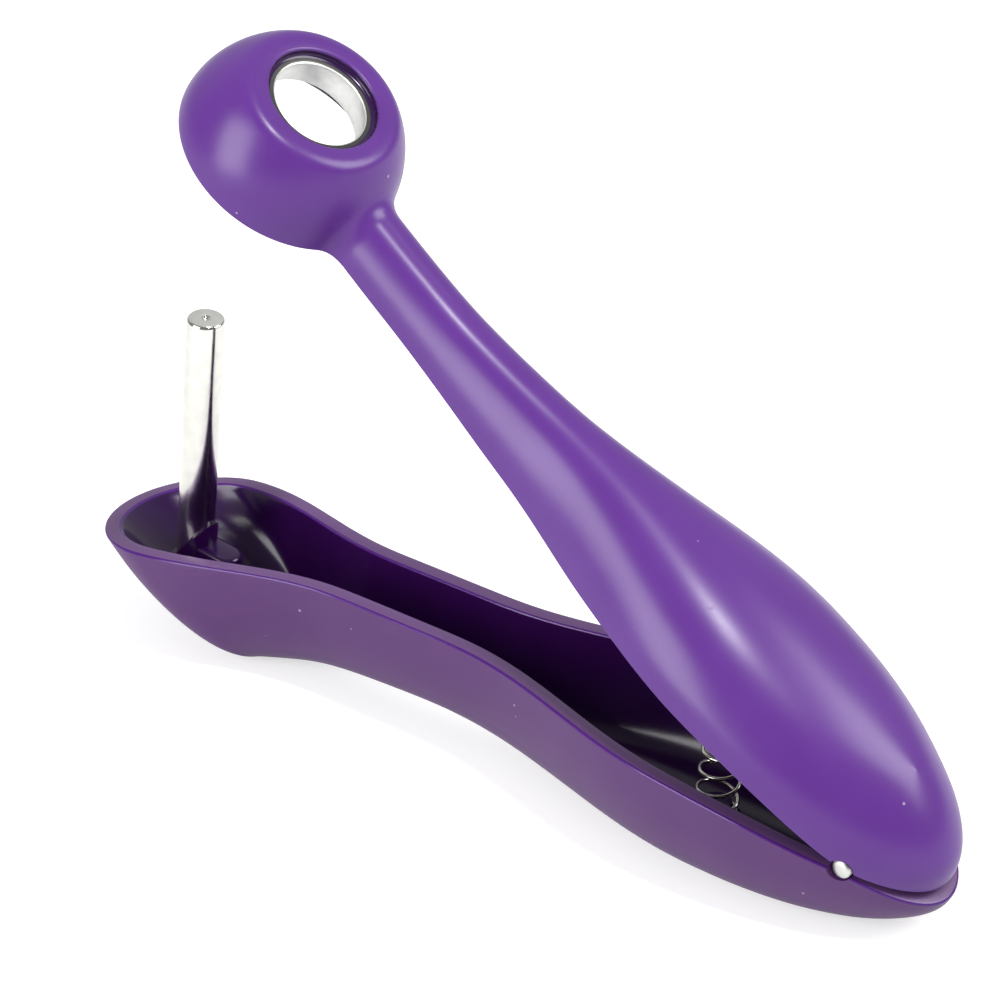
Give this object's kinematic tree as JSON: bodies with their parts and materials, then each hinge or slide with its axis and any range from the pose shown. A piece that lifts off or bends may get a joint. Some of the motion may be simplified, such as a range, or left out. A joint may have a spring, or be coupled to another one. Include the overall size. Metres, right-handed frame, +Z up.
{
  "type": "olive pitter",
  "caption": "Hand-held olive pitter: two hollow moulded handles on a hinge pin, a spring between them, a round plunger rod below and a ball-shaped olive holder above.",
  "frame": {"origin": "centre of the footprint, on the surface that the tool lies on", "axes": "+Z up, -X towards the plunger rod and the head, +X towards the hinge, Y across"},
  "size_m": [0.1481, 0.0326, 0.0996],
  "materials": {
    "lower_handle": "satin purple moulded plastic",
    "upper_handle": "satin purple moulded plastic",
    "seat_ring": "turned bright metal",
    "plunger_rod": "fine ground bright steel",
    "hinge_pin": "plain cut steel pin",
    "return_spring": "drawn spring wire"
  },
  "bodies": {
    "lower_body": {"lower_handle": "lower_handle", "plunger_rod": "plunger_rod", "hinge_pin": "hinge_pin", "return_spring": "return_spring"},
    "upper_body": {"upper_handle": "upper_handle", "seat_ring": "seat_ring"}
  },
  "joints": [
    {"name": "handle_hinge", "type": "hinge", "parent": "lower_body", "child": "upper_body", "pos_m": [0.06361, 0, 0.01236], "axis": [0, 1, 0], "range_deg": [-23, 0], "stiffness_Nm_per_rad": 0.68, "springref_deg": 4.58, "deforming": ["return_spring"]}
  ]
}
